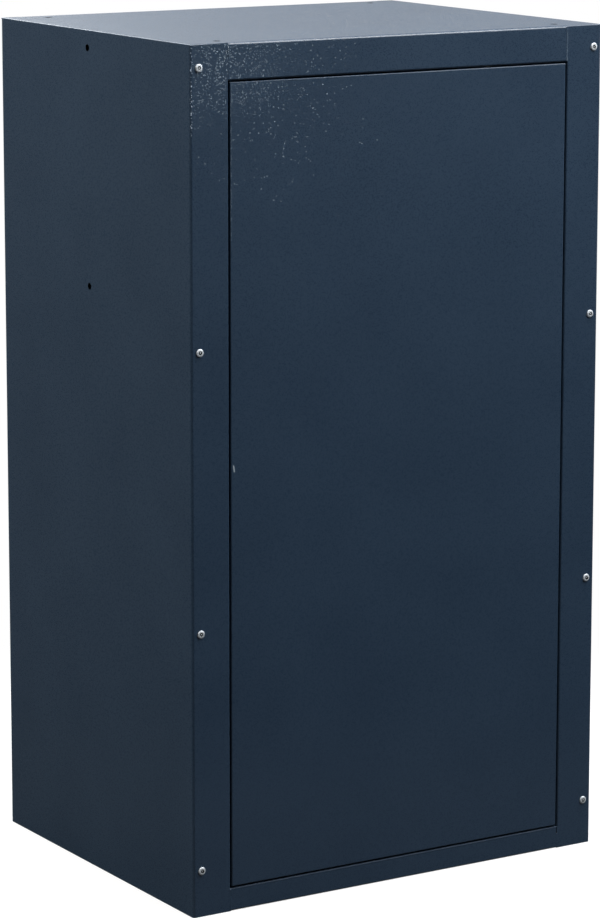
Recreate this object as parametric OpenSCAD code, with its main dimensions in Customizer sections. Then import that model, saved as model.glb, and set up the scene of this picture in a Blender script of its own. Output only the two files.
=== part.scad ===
// Workshop cabinet: a folded sheet-steel carcass with a flush inset door.
// The front faces -Y, the door hangs on the +X side, and +Z is up.
// The origin is the middle of the footprint, on the floor.

/* [Carcass] */
// Width over the two side panels
body_w = 505; // [480:1:700]
// Depth from the front frame to the rear flanges
body_d = 405; // [340:1:600]
// Height from the floor to the top sheet
body_h = 900; // [860:1:1200]
// Thickness of the carcass sheet
sheet_t = 1.2; // [0.9:0.1:1.5]
// Inside radius of the carcass bends
bend_r = 1.6; // [1:0.1:2]
// Thickness of the rear panel
rear_t = 0.9; // [0.7:0.1:1.5]
// Width of the side panels' rear flanges
rear_flange_w = 20; // [18:1:26]
// Height of the top sheet's rear flange
rear_flange_h = 24; // [20:1:40]

/* [Front frame] */
// Width of each stile beside the door
stile_w = 44.5; // [43:0.5:60]
// Height of the rail above the door
top_rail_h = 38; // [30:1:60]
// Height of the rail below the door
bottom_rail_h = 24.5; // [20:0.5:50]
// Depth of the folded edge round the door opening
jamb_d = 16; // [15:0.5:17]
// Inside radius of the bends round the door opening and under the bottom rail
opening_bend_r = 0.8; // [0.6:0.1:1.6]
// Butt seam between a rail and a stile
seam_gap = 0.15; // [0.1:0.05:0.4]
// Width of the relief slit at a lower corner of the opening
relief_w = 1; // [0.6:0.1:1.5]
// Height of the relief slit
relief_h = 8; // [4:0.5:12]

/* [Door] */
// Gap round the door
door_gap = 1.6; // [1.6:0.1:3.5]
// Depth of the folded door pan
door_d = 20; // [18:0.5:22]
// Thickness of the door sheet
door_t = 1; // [0.8:0.1:1.2]
// Outside radius of the door's folded edges
door_edge_r = 1.4; // [1.2:0.1:2.4]
// Width of the lip folded in behind the door
door_lip_w = 14; // [13:0.5:18]
// Width of the tube that stiffens the door
stiffener_w = 46; // [30:1:80]
// Wall of the stiffening tube
stiffener_t = 1; // [0.8:0.1:1.5]
// Free space between the stiffening tube and the plane of the lips
stiffener_gap = 0.5; // [0.3:0.1:1.5]

/* [Hinges] */
// Distance of the pivot axis behind the front face
pivot_depth = 8; // [7.8:0.1:8.5]
// Clearance left when the door's corner sweeps past the stile
corner_clear = 0.4; // [0.3:0.1:0.4]
// Radius of the hinge pins
pin_r = 3; // [2.5:0.1:3]
// Radial running clearance of a pin in its bush
pin_fit = 0.05; // [0.02:0.01:0.1]
// Wall of the hinge bush
bush_wall = 1.2; // [0.8:0.1:1.2]
// Radial overhang of the bush's thrust flange
bush_rim = 0.9; // [0.5:0.1:0.9]
// Clearance between the door and a thrust flange
thrust_gap = 0.3; // [0.2:0.05:0.5]
// Thickness of the brackets that hold the bushes
hinge_bracket_t = 3; // [2:0.5:4]
// Length of the brackets that hold the bushes
hinge_bracket_l = 32; // [24:1:36]
// Thickness of the plates that hold the pins
hinge_plate_t = 3; // [2:0.5:4]
// Length of the plates that hold the pins
hinge_plate_l = 28; // [22:1:29]
// Radius of a hinge pin's head
pin_head_r = 5; // [4:0.1:6]
// Height of a hinge pin's head
pin_head_h = 2.5; // [1.5:0.1:4]

/* [Corner posts] */
// Width of a post, across the cabinet
post_w = 18; // [17:0.5:22]
// Depth of a post, front to back
post_d = 32; // [28:1:40]
// Thickness of the post sheet
post_t = 1.2; // [0.9:0.1:1.5]
// Inside radius of the post bends
post_bend_r = 1.6; // [1:0.1:2.5]
// Clearance of a post and the rear panel from the side panel's bends
nest_gap = 0.2; // [0.1:0.05:0.5]
// Width of a shelf slot
slot_w = 3; // [2.8:0.1:4]
// Height of a shelf slot
slot_h = 10; // [9:0.5:14]
// Distance between shelf slots
slot_pitch = 50; // [40:1:60]
// Height of the lowest slot's middle above the cabinet floor
slot_first = 45; // [30:1:60]

/* [Shelves] */
// Thickness of the shelf sheet
shelf_t = 1; // [0.8:0.1:1.5]
// Inside radius of the shelf bends
shelf_bend_r = 1; // [0.6:0.1:2]
// Height of a shelf's folded edge
shelf_h = 25; // [18:1:40]
// Depth of the lip under a shelf's front edge
shelf_lip_d = 12; // [8:1:20]
// Distance of a shelf's front edge behind the front face
shelf_set_back = 40; // [38:1:80]
// Gap between a shelf and the corner posts
shelf_side_gap = 1.5; // [1:0.1:3]
// Gap between a shelf and the rear panel
shelf_rear_gap = 2.5; // [1:0.1:10]
// Slot that carries the lower shelf, counted from the lowest
lower_slot = 5; // [3:1:6]
// Slot that carries the upper shelf, counted from the lowest
upper_slot = 11; // [9:1:12]
// Thickness of a shelf clip's hook
clip_t = 2.4; // [1.8:0.1:2.5]
// Reach of a shelf clip into the cabinet
clip_reach = 14; // [8:1:18]
// Width of a shelf clip's seat
clip_seat_w = 16; // [10:1:22]

/* [Rivets] */
// Radius of a rivet's domed head
rivet_head_r = 4.2; // [3.6:0.1:5]
// Height of a rivet's domed head
rivet_head_h = 1.5; // [1.1:0.1:2]
// Radius of a rivet's shank
rivet_shank_r = 2; // [1.6:0.1:2.4]
// Radius of the well that the mandrel leaves in the head
rivet_well_r = 1.3; // [1.1:0.1:1.5]
// Radius of the mandrel's broken end
mandrel_r = 0.9; // [0.6:0.1:1]
// Clearance of a shank in its hole
shank_gap = 0.1; // [0.05:0.05:0.3]
// Distance of the rivets from the outer face of the side panel
rivet_inset = 10.1; // [9:0.1:12]
// Height of the foot rivet above the floor
rivet_foot_rise = 49; // [40:1:80]
// Height of the lower middle rivet above the floor
rivet_lower_rise = 299.5; // [200:0.5:400]
// Depth of the upper middle rivet below the top
rivet_upper_drop = 310; // [200:1:400]
// Depth of the top rivet below the top
rivet_top_drop = 23.6; // [18:0.1:60]

/* [Fixing holes] */
// Radius of the holes in the top sheet
top_hole_r = 3.6; // [2:0.1:5]
// Distance of the top holes from the side panels' outer faces
top_hole_side = 45; // [38:1:80]
// Distance of the top holes from the front and rear faces
top_hole_end = 24; // [20:1:80]
// Radius of the joining holes in the side panels
side_hole_r = 3.5; // [2:0.1:5]
// Distance of the joining holes behind the front face
side_hole_back = 211; // [60:1:250]
// Depth of the upper joining hole below the top
side_hole_drop = 18.5; // [12:0.5:60]
// Distance between the two joining holes
side_hole_pitch = 250; // [50:1:400]

/* [Latch] */
// Height of the latch above the floor
latch_rise = 466; // [440:1:500]
// Distance of the latch from the door's free edge
latch_inset = 7; // [6.5:0.1:8]
// Thickness of the strike plate
strike_t = 1.5; // [1:0.1:2]
// Width of the strike plate
strike_w = 11; // [9:0.5:12]
// Height of the strike plate
strike_h = 42; // [36:1:50]
// Gap between the magnet and the strike plate
strike_gap = 0.3; // [0.1:0.05:0.5]
// Radius of the magnet
magnet_r = 4; // [3:0.1:4.1]
// Length of the magnet
magnet_l = 3; // [2:0.1:4]
// Radius of the plunger
plunger_r = 4.2; // [4.2:0.1:5]
// Running clearance of the plunger in its housing
plunger_fit = 0.05; // [0.02:0.01:0.1]
// Length of the plunger behind the magnet
plunger_l = 37; // [30:1:38]
// Free length of the nose in front of the bracket
nose_l = 4.7; // [4.2:0.1:6]
// Thickness of the latch bracket
latch_bracket_t = 1.5; // [1:0.1:2]
// Height of the latch bracket
latch_bracket_h = 44; // [40:1:60]
// Length of the bracket's leg along the post
latch_leg_l = 22; // [16:1:24]
// Width of the latch housing
housing_w = 16; // [14:0.5:17]
// Height of the latch housing's barrel
housing_h = 18; // [14:0.5:19]
// Length of the latch housing
housing_l = 50; // [48:1:60]
// Thickness of the latch housing's flange
housing_flange_t = 3; // [2:0.5:5]
// Wall behind the spring
housing_end_t = 3.5; // [2:0.5:5]
// Distance of each screw and small rivet above or below the latch
latch_fix_z = 15; // [14:0.5:16]
// Radius of the latch screws' shanks
screw_r = 1.5; // [1:0.1:1.7]
// Radius of the latch screws' heads
screw_head_r = 2.8; // [2.2:0.1:3.4]
// Height of the latch screws' heads
screw_head_h = 1.6; // [1:0.1:2]
// Width of the screws' driver slot
screw_slot_w = 0.8; // [0.5:0.1:1]
// Radius of the spring's coil, to the middle of the wire
spring_r = 2.8; // [2:0.1:3.2]
// Radius of the spring wire
wire_r = 0.35; // [0.25:0.05:0.5]
// Number of turns of the spring
spring_turns = 5; // [3:1:6]

/* [Small rivets] */
// Radius of a small rivet's head
small_head_r = 3; // [2.4:0.1:3.2]
// Height of a small rivet's head
small_head_h = 0.9; // [0.6:0.1:1.2]
// Radius of a small rivet's shank
small_shank_r = 1.5; // [1.2:0.1:1.7]

/* [Door stops] */
// Thickness of a stop bracket
stop_t = 1.5; // [1:0.1:2]
// Width of a stop bracket
stop_w = 24; // [16:1:40]
// Length of the leg that is fixed to the carcass
stop_foot_l = 22; // [18:1:26]
// Length of the leg that carries the bumper
stop_leg_l = 23; // [20:0.5:26]
// Distance of the stops from the door's free edge
stop_inset = 26; // [20:1:60]
// Free travel of the door before it meets a bumper
stop_travel = 3; // [2.5:0.1:4]
// Thickness of a bumper
bumper_t = 3; // [2:0.1:4]
// Radius of a bumper
bumper_r = 6; // [4:0.1:6.5]

/* [Hidden] */
$fn = 48;

COAT = "#2f3d4b";
ZINC = "#a9adb0";
RIVET = "#c4c8cc";
PLASTIC = "#1d1f21";
NYLON = "#1f2022";
RUBBER = "#161616";
STEEL = "#8d9296";

// Amount by which a cutter runs past what it cuts
over = 1;

// Carcass planes
side_x = body_w / 2;
front_y = -body_d / 2;
rear_y = body_d / 2;
bend_o = bend_r + sheet_t;
opening_bend_o = opening_bend_r + sheet_t;
top_under = body_h - sheet_t;
open_x = side_x - stile_w;
open_z0 = bottom_rail_h;
open_z1 = body_h - top_rail_h;
rail_x = open_x - seam_gap;
rear_rail_x = side_x - rear_flange_w - seam_gap;
panel_x = side_x - bend_o - nest_gap;
floor_x = side_x - sheet_t - nest_gap;
rear_inner_y = rear_y - sheet_t;
front_inner_y = front_y + sheet_t;

// Rivets
rivet_x = side_x - rivet_inset;
rivet_zs = [rivet_foot_rise, rivet_lower_rise, body_h - rivet_upper_drop, body_h - rivet_top_drop];
rivet_hole_r = rivet_shank_r + shank_gap;
small_hole_r = small_shank_r + shank_gap;

// Posts, shelves and clips
web_x = panel_x - post_w;
front_post_y = front_inner_y + post_d / 2;
rear_post_y = rear_inner_y - rear_t - post_d / 2;
slots_z0 = open_z0 + slot_first;
slot_count = floor((top_under - slots_z0 - slot_h) / slot_pitch) + 1;
shelf_bend_o = shelf_bend_r + shelf_t;
shelf_x = web_x - shelf_side_gap;
shelf_y0 = front_y + shelf_set_back;
shelf_y1 = rear_inner_y - rear_t - shelf_rear_gap;
clip_seat_t = 2;
clip_rise = slot_h / 2 + clip_seat_t / 2;
hook_play = 0.15;
hook_t = 2.5;
hook_drop = 4;

// Door
door_x = open_x - door_gap;
door_z0 = open_z0 + door_gap;
door_z1 = open_z1 - door_gap;
door_back_y = front_y + door_d;
swing_gap = door_gap - corner_clear;
pivot_in = (pivot_depth * pivot_depth - swing_gap * swing_gap) / (2 * swing_gap);
pivot_x = door_x - pivot_in;
pivot_y = front_y + pivot_depth;
bush_r = pin_r + pin_fit + bush_wall;
bush_play = 0.05;

// Latch
latch_x = -(door_x - latch_inset);
strike_y = door_back_y + strike_t;
nose_y = strike_y + strike_gap;
arm_y = nose_y + nose_l;
housing_y = arm_y + latch_bracket_t;
bore_r = plunger_r + plunger_fit;
bore_end_y = housing_y + housing_l - housing_end_t;
plunger_y = nose_y + magnet_l;
plunger_end_y = plunger_y + plunger_l;
latch_bracket_r = 1.5;
latch_leg_fix = latch_bracket_r + latch_bracket_t + small_head_r + shank_gap;
housing_flange_h = 2 * latch_fix_z + 10;
spring_sides = 6;
spring_steps = 12;

// Door stops
stop_x = -(door_x - stop_inset);
stop_leg_y = door_back_y + stop_travel + bumper_t;
stop_bend_r = 1.5;

// Sheet bends

// Quarter ring of a bend, filling the quadrant turned by a from +x +y
module bend(r, t, a) {
    rotate(a)
        difference() {
            intersection() {
                circle(r + t);
                square(r + t);
            }
            circle(r);
        }
}

// Outline of a folded edge: the sheet's outer face is y = 0 and its bend starts at x = 0.
// The edge turns down by drop over all, then back under the sheet by lip over all.
// The second bend has its own inside radius, lip_r.
module fold_outline(drop, lip, t, r, lip_r = 0) {
    o = r + t;
    low = lip > 0 ? lip_r + t : 0;
    translate([0, -o])
        bend(r, t, 0);
    translate([r, low - drop])
        square([t, drop - o - low]);
    if (lip > 0) {
        translate([o - low, low - drop])
            bend(lip_r, t, -90);
        translate([o - lip, -drop])
            square([lip - low, t]);
    }
}

// Folded edge of a level sheet, running along Y and turned down towards +X
module folded_edge(l, drop, lip, t, r, lip_r = 0) {
    rotate([90, 0, 0])
        linear_extrude(l, center = true)
            fold_outline(drop, lip, t, r, lip_r);
}

// Sheet angle running along Y: its outer corner is at the origin, leg a lies along X, leg b stands up
module sheet_angle(l, a, b, t, r) {
    o = r + t;
    rotate([90, 0, 0])
        linear_extrude(l, center = true) {
            translate([o, o])
                bend(r, t, 180);
            translate([o, 0])
                square([a - o, t]);
            translate([0, o])
                square([t, b - o]);
        }
}

// Box whose twelve edges lie on two crossed rounded outlines
module rounded_pan(w, d, h, r) {
    intersection() {
        linear_extrude(h)
            rounded_outline(w, d, r);
        translate([-w / 2, 0, 0])
            rotate([90, 0, 90])
                linear_extrude(w)
                    translate([0, h / 2])
                        rotate(-90)
                            rounded_outline(h, d, r);
    }
}

// Rounded rectangle centred on x, with one long side on y = 0
module rounded_outline(w, d, r) {
    translate([-w / 2 + r, 0])
        square([w - 2 * r, d]);
    translate([-w / 2, r])
        square([w, d - 2 * r]);
    for (x = [-w / 2 + r, w / 2 - r], y = [r, d - r])
        translate([x, y])
            circle(r);
}

// Fasteners

// Blind rivet: its head stands on z = 0 and its shank goes down through the grip
module blind_rivet(grip) {
    rim_h = 0.4;
    dome_h = rivet_head_h - rim_h;
    dome_r = (rivet_head_r * rivet_head_r + dome_h * dome_h) / (2 * dome_h);
    well_d = 0.9;
    difference() {
        union() {
            cylinder(r = rivet_head_r, h = rim_h);
            translate([0, 0, rim_h])
                intersection() {
                    translate([0, 0, dome_h - dome_r])
                        sphere(dome_r);
                    cylinder(r = rivet_head_r, h = dome_h);
                }
            translate([0, 0, -grip])
                cylinder(r = rivet_shank_r, h = grip);
            translate([0, 0, -grip - 1.5 * rivet_shank_r])
                cylinder(r = 1.4 * rivet_shank_r, h = 1.5 * rivet_shank_r);
        }
        translate([0, 0, rivet_head_h - well_d])
            cylinder(r = rivet_well_r, h = well_d + over);
    }
    translate([0, 0, rivet_head_h - well_d])
        cylinder(r = mandrel_r, h = 0.6 * well_d);
}

// Small solid rivet with a flat head on each side of its grip
module small_rivet(grip) {
    cylinder(r = small_head_r, h = small_head_h);
    translate([0, 0, -grip])
        cylinder(r = small_shank_r, h = grip);
    translate([0, 0, -grip - small_head_h])
        cylinder(r = 1.5 * small_shank_r, h = small_head_h);
}

// Screw with a slotted cheese head: its head stands on z = 0
module slotted_screw(l) {
    difference() {
        cylinder(r = screw_head_r, h = screw_head_h);
        translate([-screw_head_r - over, -screw_slot_w / 2, screw_head_h / 2])
            cube([2 * screw_head_r + 2 * over, screw_slot_w, screw_head_h]);
    }
    translate([0, 0, -l])
        cylinder(r = screw_r, h = l);
}

// Column of drillings along Y through x, one at each rivet height
module rivet_drillings(y0, y1) {
    for (z = rivet_zs)
        translate([rivet_x, y0 - over, z])
            rotate([-90, 0, 0])
                cylinder(r = rivet_hole_r, h = y1 - y0 + 2 * over);
}

// Carcass

// Right-hand side panel with its stile, jamb and rear flange, folded from one sheet
module side_sheet() {
    difference() {
        union() {
            linear_extrude(top_under) {
                translate([side_x - sheet_t, front_y + bend_o])
                    square([sheet_t, body_d - 2 * bend_o]);
                translate([side_x - bend_o, front_y + bend_o])
                    bend(bend_r, sheet_t, -90);
                translate([open_x + opening_bend_o, front_y])
                    square([stile_w - opening_bend_o - bend_o, sheet_t]);
                translate([side_x, rear_y - bend_o])
                    mirror([0, 1])
                        rotate(-90)
                            fold_outline(rear_flange_w, 0, sheet_t, bend_r);
            }
            translate([0, 0, open_z0])
                linear_extrude(open_z1 - open_z0) {
                    translate([open_x + opening_bend_o, front_y + opening_bend_o])
                        bend(opening_bend_r, sheet_t, 180);
                    translate([open_x, front_y + opening_bend_o])
                        square([sheet_t, jamb_d - opening_bend_o]);
                }
            for (band = [[0, open_z0], [open_z1, top_under]])
                translate([open_x, front_y, band[0]])
                    cube([opening_bend_o, sheet_t, band[1] - band[0]]);
        }
        rivet_drillings(front_y, front_inner_y);
        rivet_drillings(rear_inner_y, rear_y);
        for (z = [body_h - side_hole_drop, body_h - side_hole_drop - side_hole_pitch])
            translate([side_x - sheet_t - over, front_y + side_hole_back, z])
                rotate([0, 90, 0])
                    cylinder(r = side_hole_r, h = sheet_t + 2 * over);
    }
}

module side_panel_right() {
    color(COAT)
        side_sheet();
}

module side_panel_left() {
    color(COAT)
        mirror([1, 0, 0])
            side_sheet();
}

// Drilling for a hinge bush, at the pivot, from z0 up to z1
module bush_drilling(z0, z1) {
    translate([pivot_x, pivot_y, z0 - over])
        cylinder(r = bush_r + bush_play, h = z1 - z0 + 2 * over);
}

// Top sheet, folded down into the top rail and the rear flange
module top_panel() {
    color(COAT)
        difference() {
            union() {
                difference() {
                    translate([-side_x, front_y, top_under])
                        cube([body_w, body_d, sheet_t]);
                    translate([-rail_x, front_y - over, top_under - over])
                        cube([2 * rail_x, bend_o + over, sheet_t + 2 * over]);
                    translate([-rear_rail_x, rear_y - bend_o, top_under - over])
                        cube([2 * rear_rail_x, bend_o + over, sheet_t + 2 * over]);
                }
                translate([0, front_y + bend_o, body_h])
                    rotate(-90)
                        folded_edge(2 * rail_x, top_rail_h, jamb_d, sheet_t, bend_r, opening_bend_r);
                translate([0, rear_y - bend_o, body_h])
                    rotate(90)
                        folded_edge(2 * rear_rail_x, rear_flange_h, 0, sheet_t, bend_r);
            }
            for (x = [-side_x + top_hole_side, side_x - top_hole_side])
                for (y = [front_y + top_hole_end, rear_y - top_hole_end])
                    translate([x, y, top_under - over])
                        cylinder(r = top_hole_r, h = sheet_t + 2 * over);
            bush_drilling(open_z1, open_z1 + sheet_t);
        }
}

// Cabinet floor, folded down into the bottom rail, the rear flange and the two side flanges
module bottom_panel() {
    edge_x = floor_x - bend_o;
    floor_y0 = front_inner_y + nest_gap;
    floor_y1 = rear_inner_y - nest_gap;
    color(COAT)
        difference() {
            union() {
                translate([-edge_x, floor_y0, open_z0 - sheet_t])
                    cube([2 * edge_x, floor_y1 - floor_y0, sheet_t]);
                for (s = [0, 1])
                    mirror([s, 0, 0])
                        translate([edge_x, 0, open_z0])
                            folded_edge(floor_y1 - floor_y0 - 2 * bend_r, open_z0, 0, sheet_t, bend_r);
            }
            translate([-rail_x, floor_y0 - over, open_z0 - opening_bend_o])
                cube([2 * rail_x, front_y + opening_bend_o - floor_y0 + over, opening_bend_o + over]);
            translate([-rear_rail_x, rear_y - bend_o, open_z0 - bend_o])
                cube([2 * rear_rail_x, bend_o, bend_o + over]);
            bush_drilling(open_z0 - sheet_t, open_z0);
        }
    color(COAT)
        difference() {
            translate([0, front_y + opening_bend_o, open_z0])
                rotate(-90)
                    folded_edge(2 * rail_x, open_z0, jamb_d, sheet_t, opening_bend_r, opening_bend_r);
            for (s = [0, 1])
                mirror([s, 0, 0])
                    translate([rail_x - relief_w, front_y - over, open_z0 - relief_h])
                        cube([relief_w + over, opening_bend_o + over, relief_h + over]);
        }
    color(COAT)
        translate([0, rear_y - bend_o, open_z0])
            rotate(90)
                folded_edge(2 * rear_rail_x, open_z0, 0, sheet_t, bend_r);
}

// Flat rear panel, held between the rear flanges and the rear posts
module rear_panel() {
    color(COAT)
        difference() {
            translate([-panel_x, rear_inner_y - rear_t, open_z0])
                cube([2 * panel_x, rear_t, body_h - bend_o - nest_gap - open_z0]);
            for (s = [0, 1])
                mirror([s, 0, 0])
                    rivet_drillings(rear_inner_y - rear_t, rear_inner_y);
        }
}

// Posts and shelves

// Right-hand front post: a slotted channel whose outer flange lies behind the stile at y = 0
module post_sheet() {
    post_bend_o = post_bend_r + post_t;
    difference() {
        translate([0, 0, open_z0])
            linear_extrude(top_under - open_z0 - nest_gap)
                translate([web_x + post_bend_o, 0])
                    rotate(180) {
                        fold_outline(post_d, post_w, post_t, post_bend_r, post_bend_r);
                        translate([post_bend_o - post_w, -post_t])
                            square([post_w - post_bend_o, post_t]);
                    }
        for (i = [0 : slot_count - 1])
            translate([web_x - over, (post_d - slot_w) / 2, slots_z0 + i * slot_pitch - slot_h / 2])
                cube([post_t + 2 * over, slot_w, slot_h]);
        rivet_drillings(0, post_t);
    }
}

module front_post_right() {
    color(COAT)
        translate([0, front_inner_y, 0])
            post_sheet();
}

// The left front post also has the drillings for the latch bracket's rivets
module front_post_left() {
    color(COAT)
        difference() {
            mirror([1, 0, 0])
                translate([0, front_inner_y, 0])
                    post_sheet();
            latch_leg_holes(-web_x - post_t, -web_x);
        }
}

module rear_post_right() {
    color(COAT)
        translate([0, rear_inner_y - rear_t, 0])
            mirror([0, 1, 0])
                post_sheet();
}

module rear_post_left() {
    color(COAT)
        mirror([1, 0, 0])
            translate([0, rear_inner_y - rear_t, 0])
                mirror([0, 1, 0])
                    post_sheet();
}

// Height of a shelf's underside when it hangs in slot i
function seat_z(i) = slots_z0 + i * slot_pitch + clip_rise;

// Shelf in slot i: a level sheet with all four edges folded down
module shelf(i) {
    z = seat_z(i) + shelf_h;
    flat_x = shelf_x - shelf_bend_o;
    flat_y0 = shelf_y0 + shelf_bend_o;
    flat_y1 = shelf_y1 - shelf_bend_o;
    color(COAT) {
        translate([-flat_x, flat_y0, z - shelf_t])
            cube([2 * flat_x, flat_y1 - flat_y0, shelf_t]);
        translate([0, flat_y0, z])
            rotate(-90)
                folded_edge(2 * flat_x, shelf_h, shelf_lip_d, shelf_t, shelf_bend_r, shelf_bend_r);
        translate([0, flat_y1, z])
            rotate(90)
                folded_edge(2 * flat_x, shelf_h, 0, shelf_t, shelf_bend_r);
        for (s = [0, 1])
            mirror([s, 0, 0])
                translate([flat_x, (flat_y0 + flat_y1) / 2, z])
                    folded_edge(flat_y1 - flat_y0, shelf_h, 0, shelf_t, shelf_bend_r);
    }
}

module shelf_lower() {
    shelf(lower_slot);
}

module shelf_upper() {
    shelf(upper_slot);
}

// Right-hand shelf clip in slot i, centred on y: a seat, a web and a hook through the slot
module shelf_clip(i, y) {
    slot_z = slots_z0 + i * slot_pitch;
    slot_low = slot_z - slot_h / 2;
    seat = seat_z(i);
    hook_x = web_x + post_t + hook_play;
    translate([web_x - clip_reach, y - clip_seat_w / 2, seat - clip_seat_t])
        cube([clip_reach, clip_seat_w, clip_seat_t]);
    translate([0, y + clip_t / 2, 0])
        rotate([90, 0, 0])
            linear_extrude(clip_t) {
                polygon([[web_x - clip_reach, seat - clip_seat_t / 2], [web_x, seat - clip_seat_t / 2],
                    [web_x, slot_low - hook_drop], [web_x - clip_seat_t, slot_low - hook_drop]]);
                translate([web_x - clip_seat_t, slot_low])
                    square([clip_seat_t + post_t + hook_play + hook_t, slot_h / 2]);
                translate([hook_x, slot_low - hook_drop])
                    square([hook_t, slot_h / 2 + hook_drop]);
            }
}

module shelf_clips(i) {
    color(ZINC)
        for (s = [0, 1])
            mirror([s, 0, 0])
                for (y = [front_post_y, rear_post_y])
                    shelf_clip(i, y);
}

module shelf_clips_lower() {
    shelf_clips(lower_slot);
}

module shelf_clips_upper() {
    shelf_clips(upper_slot);
}

// Rivet groups

// Four rivets through the right-hand stile and front post
module front_rivet_row() {
    for (z = rivet_zs)
        translate([rivet_x, front_y, z])
            rotate([90, 0, 0])
                blind_rivet(sheet_t + post_t);
}

// Four rivets through the right-hand rear flange, the rear panel and the rear post
module rear_rivet_row() {
    for (z = rivet_zs)
        translate([rivet_x, rear_y, z])
            rotate([-90, 0, 0])
                blind_rivet(sheet_t + rear_t + post_t);
}

module front_rivets_right() {
    color(RIVET)
        front_rivet_row();
}

module front_rivets_left() {
    color(RIVET)
        mirror([1, 0, 0])
            front_rivet_row();
}

module rear_rivets_right() {
    color(RIVET)
        rear_rivet_row();
}

module rear_rivets_left() {
    color(RIVET)
        mirror([1, 0, 0])
            rear_rivet_row();
}

// Hinges

// Stiff plate round a bush or a pin, with its underside at z
module pivot_plate(l, y0, y1, z, t, hole_r) {
    difference() {
        translate([pivot_x - l / 2, y0, z])
            cube([l, y1 - y0, t]);
        translate([pivot_x, pivot_y, z - over])
            cylinder(r = hole_r, h = t + 2 * over);
    }
}

module hinge_bracket(z) {
    color(ZINC)
        pivot_plate(hinge_bracket_l, front_y + opening_bend_o, front_y + jamb_d, z, hinge_bracket_t,
            bush_r + bush_play);
}

module hinge_bracket_top() {
    hinge_bracket(open_z1 + sheet_t);
}

module hinge_bracket_bottom() {
    hinge_bracket(open_z0 - sheet_t - hinge_bracket_t);
}

// Bush with its thrust flange below z = 0 and its barrel above
module bush() {
    color(NYLON)
        difference() {
            union() {
                cylinder(r = bush_r, h = sheet_t + hinge_bracket_t);
                translate([0, 0, thrust_gap - door_gap])
                    cylinder(r = bush_r + bush_rim, h = door_gap - thrust_gap);
            }
            translate([0, 0, -door_gap])
                cylinder(r = pin_r + pin_fit, h = door_gap + sheet_t + hinge_bracket_t + over);
        }
}

module hinge_bush_top() {
    translate([pivot_x, pivot_y, open_z1])
        bush();
}

module hinge_bush_bottom() {
    translate([pivot_x, pivot_y, open_z0])
        mirror([0, 0, 1])
            bush();
}

module hinge_plate(z) {
    color(ZINC)
        pivot_plate(hinge_plate_l, front_y + door_edge_r, door_back_y - door_edge_r, z, hinge_plate_t,
            pin_r + pin_fit);
}

module hinge_plate_top() {
    hinge_plate(door_z1 - door_t - hinge_plate_t);
}

module hinge_plate_bottom() {
    hinge_plate(door_z0 + door_t);
}

// Pin whose head bears on a hinge plate at z = 0, standing up through the door's edge and the bush
module hinge_pin() {
    color(STEEL) {
        translate([0, 0, -pin_head_h])
            cylinder(r = pin_head_r, h = pin_head_h);
        cylinder(r = pin_r, h = hinge_plate_t + door_t + door_gap + sheet_t + hinge_bracket_t);
    }
}

module hinge_pin_top() {
    translate([pivot_x, pivot_y, door_z1 - door_t - hinge_plate_t])
        hinge_pin();
}

module hinge_pin_bottom() {
    translate([pivot_x, pivot_y, door_z0 + door_t + hinge_plate_t])
        mirror([0, 0, 1])
            hinge_pin();
}

// Door

// Door skin with its four folded sides and rear lips
module door_pan() {
    door_w = 2 * door_x;
    door_h = door_z1 - door_z0;
    lip_over = door_lip_w - door_t;
    color(COAT)
        difference() {
            translate([0, front_y, door_z0])
                rounded_pan(door_w, door_d, door_h, door_edge_r);
            translate([0, front_y + door_t, door_z0 + door_t])
                rounded_pan(door_w - 2 * door_t, door_d - 2 * door_t, door_h - 2 * door_t, door_edge_r - door_t);
            translate([-door_x + door_lip_w, door_back_y - lip_over, door_z0 + door_lip_w])
                cube([door_w - 2 * door_lip_w, lip_over + over, door_h - 2 * door_lip_w]);
            translate([pivot_x, pivot_y, door_z0 - over])
                cylinder(r = pin_r + pin_fit, h = door_h + 2 * over);
            strike_holes(door_back_y - door_t, door_back_y);
        }
}

// Flat tube that stiffens the door's skin from top to bottom
module door_stiffener() {
    tube_d = door_d - 2 * door_t - stiffener_gap;
    color(COAT)
        translate([0, front_y + door_t, door_z0 + door_edge_r])
            linear_extrude(door_z1 - door_z0 - 2 * door_edge_r)
                difference() {
                    rounded_outline(stiffener_w, tube_d, 2 * stiffener_t);
                    translate([0, stiffener_t])
                        rounded_outline(stiffener_w - 2 * stiffener_t, tube_d - 2 * stiffener_t, stiffener_t);
                }
}

// Latch

// Two drillings through the strike plate and the door's lip
module strike_holes(y0, y1) {
    for (z = [-latch_fix_z, latch_fix_z])
        translate([latch_x, y0 - over, latch_rise + z])
            rotate([-90, 0, 0])
                cylinder(r = small_hole_r, h = y1 - y0 + 2 * over);
}

module strike_plate() {
    color(ZINC)
        difference() {
            translate([latch_x - strike_w / 2, door_back_y, latch_rise - strike_h / 2])
                cube([strike_w, strike_t, strike_h]);
            strike_holes(door_back_y, strike_y);
        }
}

module strike_rivets() {
    color(RIVET)
        for (z = [-latch_fix_z, latch_fix_z])
            translate([latch_x, strike_y, latch_rise + z])
                rotate([-90, 0, 0])
                    small_rivet(strike_t + door_t);
}

// Two drillings along X for the rivets between the latch bracket and the post
module latch_leg_holes(x0, x1) {
    for (z = [-latch_fix_z, latch_fix_z])
        translate([x0 - over, housing_y - latch_leg_fix, latch_rise + z])
            rotate([0, 90, 0])
                cylinder(r = small_hole_r, h = x1 - x0 + 2 * over);
}

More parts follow.
